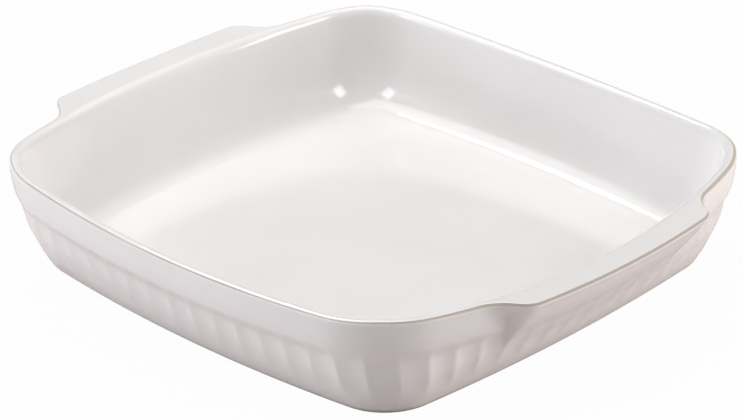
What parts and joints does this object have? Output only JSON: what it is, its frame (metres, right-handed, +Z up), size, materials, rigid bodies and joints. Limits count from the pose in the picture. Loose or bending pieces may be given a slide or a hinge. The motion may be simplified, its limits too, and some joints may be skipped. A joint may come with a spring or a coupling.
{
  "type": "baking dish",
  "caption": "Square glazed stoneware baking dish with bowed sides, a fluted wall under a plain collar, a dipping rim and lug handles, for oven cooking and serving.",
  "frame": {"origin": "on the table, under the middle of the dish", "axes": "+Z up out of the dish, +X through the middle of a handle, +Y through the middle of a plain side"},
  "size_m": [0.2752, 0.2402, 0.0472],
  "materials": {
    "bare_stoneware": "matt, fine-grained fired clay",
    "white_glaze": "glossy warm white glaze"
  },
  "bodies": {
    "root": {"stoneware_body": "bare_stoneware", "inner_glaze": "white_glaze", "outer_glaze": "white_glaze", "underside_glaze": "white_glaze"}
  },
  "joints": []
}
